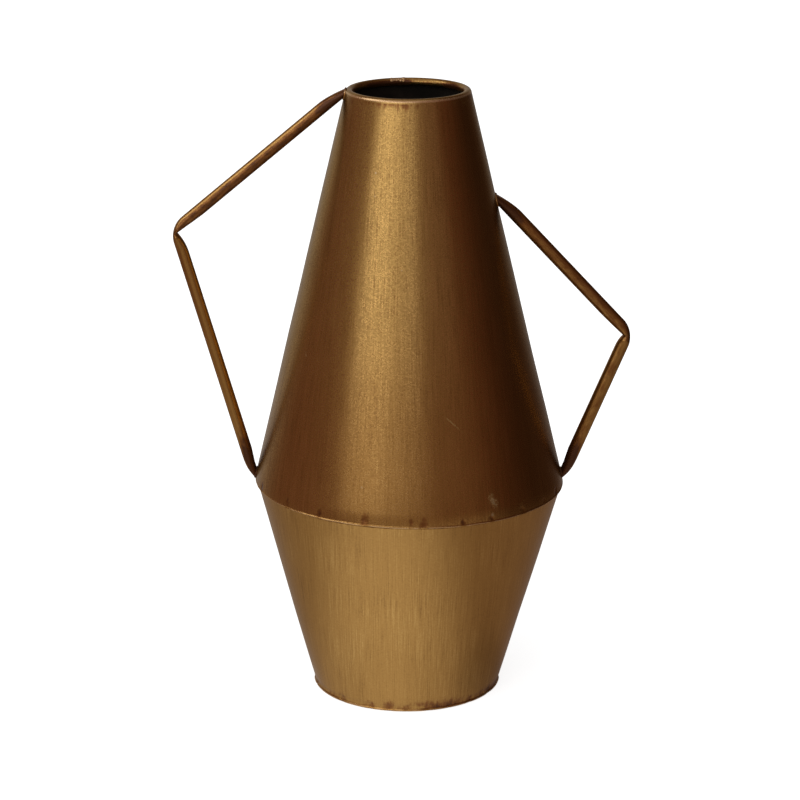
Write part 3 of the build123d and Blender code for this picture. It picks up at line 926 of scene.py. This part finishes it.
def leg_sides(corner, leg, half_turn, notch, crease_turn, fold_run, fold_curve, toe, heel):
    """Points down a leg's outer and inner sides, from the crease at the elbow to past its seat. The outer
    side goes round the elbow, and the inner side opens out from the notch."""
    seat, along, across = leg
    bend_start = (ELBOW_RADIUS - TUBE_RADIUS) * tan(half_turn)
    notch_run = (notch - corner).dot(along)
    notch_off = (notch - corner).dot(across)
    elbow_end = max(bend_start + ELBOW_MARGIN, notch_run + fold_run)
    arc = ELBOW_RADIUS * crease_turn
    rows = []
    for k in range(ELBOW_STEPS + 1):
        share = k / ELBOW_STEPS
        travel = share * (arc + elbow_end - bend_start)
        turn = max(0.0, crease_turn - travel / ELBOW_RADIUS)
        outer_run = bend_start - ELBOW_RADIUS * sin(turn) + max(0.0, travel - arc)
        inner_run = notch_run + (elbow_end - notch_run) * share
        opened = 1 - (1 - min(1.0, (inner_run - notch_run) / fold_run)) ** fold_curve
        inner = notch_off - (TUBE_RADIUS + notch_off) * opened
        rows.append((outer_run, TUBE_RADIUS - ELBOW_RADIUS * (1 - cos(turn)), inner_run, inner))
    taper_end = (seat - corner).dot(along) + TIP_THICKNESS
    taper_start = taper_end - TAPER_RUN
    steps = int((taper_start - elbow_end) / LEG_STEP)
    for k in range(1, steps):
        run = elbow_end + (taper_start - elbow_end) * k / steps
        rows.append((run, TUBE_RADIUS, run, -TUBE_RADIUS))
    for k in range(TAPER_STEPS + 1):
        run = taper_start + TAPER_RUN * k / TAPER_STEPS
        outer = TUBE_RADIUS - (2 * TUBE_RADIUS - TIP_THICKNESS) * (k / TAPER_STEPS) ** toe
        rows.append((run, outer, run, heel * min(1.0, 2 * k / TAPER_STEPS) - TUBE_RADIUS))
    tip = taper_end + OVERRUN
    rows.append((tip, TIP_THICKNESS - TUBE_RADIUS, tip, heel - TUBE_RADIUS))
    sides = []
    for outer_run, outer, inner_run, inner in rows:
        outer_point = corner + along * outer_run + across * outer
        inner_point = corner + along * inner_run + across * inner
        sides.append((outer_point, inner_point))
    return sides


creased_tube = creased_tube_tree()
for name, plan in HANDLES.items():
    corner, legs = handle_legs(plan)
    half_turn = (pi - legs[0][1].angle(legs[1][1])) / 2
    crease = radians(CREASE_TURN)
    folds = (
        (2 * half_turn - crease, UPPER_FOLD_RUN, UPPER_FOLD_CURVE, TOP_TOE, 0.0),
        (crease, plan.fold_run, LOWER_FOLD_CURVE, FOOT_TOE, HEEL),
    )
    upper_leg, lower_leg = [
        leg_sides(corner, leg, half_turn, Vector(plan.notch), *fold) for leg, fold in zip(legs, folds)
    ]
    sides = [*reversed(upper_leg), *lower_leg[1:]]
    crease_row = len(upper_leg) - 1
    centres = [(outer + inner) / 2 for outer, inner in sides]
    halves = [(outer - inner) / 2 * plan.swell for outer, inner in sides]
    along = [0.0]
    for before, after in zip(centres, centres[1:]):
        along.append(along[-1] + (after - before).length / 1000)
    length = along[-1]
    widths, end_browns_and_crease_shades, shades = [], [], []
    for row, (half, run) in enumerate(zip(halves, along)):
        to_end = min(run, length - run)
        to_crease = abs(run - along[crease_row])
        pinch = 1 - PINCH * max(0.0, 1 - to_crease / PINCH_REACH)
        widths.append(pinch * sqrt(2 * (TUBE_RADIUS * plan.swell) ** 2 - half.length_squared) / 1000)
        # Brown towards each end, and painted shade at the crease.
        end_brown = min(1.0, END_BROWN - to_end / END_BROWN_REACH)
        crease_painted_shade = CREASE_PAINTED_SHADE - to_crease / CREASE_PAINTED_SHADE_REACH
        end_browns_and_crease_shades.append(max(end_brown, crease_painted_shade, 0.0))
        shades.append(plan.upper_brown if row < crease_row else plan.lower_brown)
    stations = point_mesh(
        f"{name}_handle_stations",
        [(plan.side * c.x / 1000, 0.0, c.y / 1000) for c in centres],
        across=[(plan.side * h.x / 1000, 0.0, h.y / 1000) for h in halves],
        half_width=widths,
        along=along,
        bruise=end_browns_and_crease_shades,
        shade=shades,
    )
    inputs = {"Sides": TUBE_SIDES, "Lacquer": lacquer}
    handle = grown(creased_tube, stations, f"{name}_handle_tube", **inputs)
    shape = bmesh.new()
    shape.from_mesh(handle.data)
    wall_out = Vector((plan.side * tilt_cos, 0, tilt_sin))
    for seat, _, _ in legs:
        cut = Vector((plan.side * seat.x, 0, seat.y)) / 1000 - wall_out * SEAT_DEPTH
        near = [v for v in shape.verts if (v.co - cut).length < SEAT_REACH]
        edges = {e for v in near for e in v.link_edges}
        faces = {f for v in near for f in v.link_faces}
        bmesh.ops.bisect_plane(
            shape,
            geom=[*near, *edges, *faces],
            plane_co=cut,
            plane_no=wall_out,
            clear_inner=True,
            dist=1e-7,
        )
    bmesh.ops.holes_fill(shape, edges=[e for e in shape.edges if e.is_boundary], sides=0)
    bmesh.ops.recalc_face_normals(shape, faces=shape.faces[:])
    shape.to_mesh(handle.data)
    shape.free()
    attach(handle, "root")
    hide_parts(f"{name}_handle")

# The handle welds: a ring of small tacks round each flattened tube end, run by hand on to the cone's wall
# and painted over. Those at the top are rubbed in places.
TACK_PITCH = 0.0019
TACK_STEPS = 24
TACK_ROOM = 0.2  # millimetres that the ring is larger than the tube's end
Tacks = namedtuple("Tacks", "heel wear patina seed")
TACKS = {
    "top": Tacks(heel=0.0, wear=0.9, patina=0.45, seed=20),
    "foot": Tacks(heel=HEEL, wear=0.0, patina=0.9, seed=22),
}

for name, plan in HANDLES.items():
    _, legs = handle_legs(plan)
    wall_out = Vector((plan.side * tilt_cos, 0, tilt_sin))
    wall_up = Vector((-plan.side * tilt_sin, 0, tilt_cos))
    for (end, tacks), (seat, along, _) in zip(TACKS.items(), legs):
        slant = abs(along.dot(Vector((tilt_cos, tilt_sin))))
        half_length = (TIP_THICKNESS - tacks.heel) / 2 / slant + TACK_ROOM
        half_width = sqrt(2 * TUBE_RADIUS**2 - (TIP_THICKNESS / 2) ** 2) + TACK_ROOM
        seat_point = Vector((plan.side * seat.x, 0, seat.y)) - wall_up * tacks.heel / 2 / slant
        ring, wear = [], []
        for k in range(TACK_STEPS + 1):
            turn = 2 * pi * k / TACK_STEPS
            sideways = half_width * cos(turn)
            sag = wall_out * sideways**2 / (2 * seat.x)
            spot = seat_point + Vector((0, sideways, 0)) + wall_up * half_length * sin(turn) - sag
            ring.append(spot / 1000)
            wear.append(tacks.wear * max(0.0, sin(3 * turn)))
        weld = run_weld(
            f"{name}_handle_{end}_tacks",
            ring,
            facing=[wall_out] * len(ring),
            wear=wear,
            Pitch=TACK_PITCH,
            Width=0.0009,
            Height=0.0008,
            Patina=tacks.patina,
            Seed=tacks.seed + plan.side,
        )
        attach(weld, "root")
        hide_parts(f"{name}_handle_{end}_weld")

# The studio: a white floor that runs out of sight, soft lamps in front, on the left and overhead, and a
# white room. In the lacquer the floor shows brightest in front of the vase, and floor and room dim and
# warm towards the right.
FLOOR_HALF = 5.0  # metres, as are the studio's other sizes
FLOOR_DROP = 0.0004  # clear of the vase's underside
FLOOR_PAPER = (0.85, 0.85, 0.85, 1)
LIT_WAY = (-0.17, 0.985, 0)  # the part of the room behind the vase that is lit
POOL_TONE = (0.95, 0.91, 0.9, 1)
SHADE_TONE = (0.1, 0.07, 0.06, 1)
FLOOR_PATCHES = (  # middle, inner and outer reach, strength and tone
    ((-0.06, -0.17, 0), 0.03, 0.22, 1, POOL_TONE),  # light in front of the vase
    ((-0.015, -0.075, 0), 0.0, 0.04, 0.6, POOL_TONE),  # light close to its foot
    ((0.075, -0.03, 0), 0.02, 0.06, 0.4, SHADE_TONE),  # shade close to its foot on the right
)
NEAR_TONES = ((0.355, 0.275, 0.24, 1), (0.48, 0.41, 0.36, 1))  # right and left, as in each pair here
FAR_DIM_TONES = ((0.05, 0.025, 0.022, 1), (0.2, 0.1, 0.09, 1))
FAR_LIT_TONES = ((0.25, 0.235, 0.225, 1), (0.55, 0.54, 0.53, 1))
FAR_FRONT_TONE = (0.42, 0.335, 0.28, 1)

floor_mesh = bpy.data.meshes.new("floor")
corners = [(-1, -1), (1, -1), (1, 1), (-1, 1)]
floor_points = [(x * FLOOR_HALF, y * FLOOR_HALF, -FLOOR_DROP) for x, y in corners]
floor_mesh.from_pydata(floor_points, [], [(0, 1, 2, 3)])
floor = bpy.data.objects.new("floor", floor_mesh)
bpy.context.scene.collection.objects.link(floor)
white, tree, shader, ground = new_finish("white_floor")
tree.nodes.remove(shader)
rays = node(tree, "ShaderNodeLightPath").outputs
away = vector_calc(tree, "LENGTH", ground)
way = vector_calc(tree, "NORMALIZE", ground)
sight = calc(tree, "MAXIMUM", rays["Is Camera Ray"], rays["Is Transmission Ray"])
glow = calc(tree, "MULTIPLY", spread(tree, away, 0.2, 0.7, 0.8, 0.97), sight)
glow = result(tree, "ShaderNodeEmission", {"Strength": glow})
paper = result(tree, "ShaderNodeBsdfDiffuse", {"Color": FLOOR_PAPER})
paper = result(tree, "ShaderNodeAddShader", {0: glow, 1: paper})
leftward = spread(tree, parts_of(tree, way)[0], -0.6, 0.9, 1, 0, "LINEAR")
near_tone = blend(tree, leftward, *NEAR_TONES)
for middle, inner, outer, strength, tone in FLOOR_PATCHES:
    patch = spread(tree, vector_calc(tree, "DISTANCE", ground, middle), inner, outer, strength, 0)
    near_tone = blend(tree, patch, near_tone, tone)
behind = vector_calc(tree, "DOT_PRODUCT", way, LIT_WAY)
dim_tone = blend(tree, leftward, *FAR_DIM_TONES)
lit_tone = blend(tree, leftward, *FAR_LIT_TONES)
far_tone = blend(tree, spread(tree, behind, 0.5, 1.0, 0, 1), dim_tone, lit_tone)
far_tone = blend(tree, spread(tree, behind, -0.9, -0.4, 1, 0), far_tone, FAR_FRONT_TONE)
mirrored = blend(tree, spread(tree, away, 0.3, 0.7, 0, 1), near_tone, far_tone)
mirrored = result(tree, "ShaderNodeEmission", {"Color": mirrored})
both = result(tree, "ShaderNodeMixShader", {0: rays["Is Glossy Ray"], 1: paper, 2: mirrored})
feed(tree, tree.nodes["Material Output"], {"Surface": both})
floor_mesh.materials.append(white)

LAMP_AIM = Vector((0, 0, 0.22))  # the middle of the vase


def soft_lamp(name, azimuth, elevation, distance, width, height, level):
    """A rectangular soft lamp of an even brightness, turned to the middle of the vase."""
    turn = radians(azimuth)
    away = Vector((sin(turn), -cos(turn), tan(radians(elevation)))).normalized()
    lamp = bpy.data.lights.new(name, "AREA")
    lamp.shape = "RECTANGLE"
    lamp.size = width
    lamp.size_y = height
    lamp.energy = level * pi * width * height
    made = bpy.data.objects.new(name, lamp)
    made.location = LAMP_AIM + away * distance
    made.rotation_euler = away.to_track_quat("Z", "Y").to_euler()
    made.visible_camera = False
    bpy.context.scene.collection.objects.link(made)


soft_lamp("left_softbox", azimuth=-35, elevation=24, distance=1.6, width=0.95, height=1.0, level=1.35)
soft_lamp("front_panel", azimuth=-4, elevation=25, distance=1.9, width=0.95, height=1.1, level=0.8)
soft_lamp("right_panel", azimuth=30, elevation=25, distance=1.9, width=1.3, height=1.1, level=0.11)
soft_lamp("left_window", azimuth=-80, elevation=40, distance=2.0, width=1.0, height=1.0, level=1.7)
soft_lamp("overhead_softbox", azimuth=-30, elevation=80, distance=2.0, width=2.2, height=2.2, level=0.3)

ROOM_RIGHT_FRONT = (0.15, 0.055, 0.045, 1)
ROOM_RIGHT_BACK = (0.035, 0.015, 0.013, 1)
ROOM_LEFT = (0.2, 0.1, 0.09, 1)
ROOM_LIT_TONES = ((0.23, 0.21, 0.195, 1), (0.75, 0.73, 0.71, 1))
ROOM_FILL = (0.25, 0.25, 0.25, 1)
ROOM_WHITE = (1, 1, 1, 1)

world = bpy.data.worlds.new("white_room")
bpy.context.scene.world = world
world.use_nodes = True
tree = world.node_tree
rays = node(tree, "ShaderNodeLightPath").outputs
way = node(tree, "ShaderNodeTexCoord").outputs["Generated"]
facing = parts_of(tree, way)
behind = spread(tree, vector_calc(tree, "DOT_PRODUCT", way, LIT_WAY), 0.6, 1.0, 0, 1)
leftward = spread(tree, facing[0], -0.9, 0.9, 1.0, 0.0, "LINEAR")
backward = spread(tree, facing[1], -0.8, 0.4, 0, 1)
right = blend(tree, backward, ROOM_RIGHT_FRONT, ROOM_RIGHT_BACK)
dim = blend(tree, leftward, right, ROOM_LEFT)
lit = blend(tree, leftward, *ROOM_LIT_TONES)
room = blend(tree, behind, dim, lit)
fill = blend(tree, rays["Is Glossy Ray"], ROOM_FILL, room)
seen = calc(tree, "MAXIMUM", rays["Is Camera Ray"], rays["Is Transmission Ray"])
feed(tree, tree.nodes["Background"], {"Color": blend(tree, seen, fill, ROOM_WHITE)})

CAMERA_PLACE = (0, -1.7597, 0.7224)
CAMERA_LENS = 126.42  # millimetres
CAMERA_SENSOR = 36  # millimetres
CAMERA_DIP = 0.2918  # radians that it looks down
CAMERA_TURN = 0.003  # radians to the left

camera = bpy.data.cameras.new("camera")
camera.sensor_width = CAMERA_SENSOR
camera.lens = CAMERA_LENS
camera_mount = bpy.data.objects.new("camera", camera)
camera_mount.location = CAMERA_PLACE
camera_mount.rotation_euler = (pi / 2 - CAMERA_DIP, 0, CAMERA_TURN)
bpy.context.scene.collection.objects.link(camera_mount)
bpy.context.scene.camera = camera_mount
bpy.context.scene.view_settings.view_transform = "Standard"
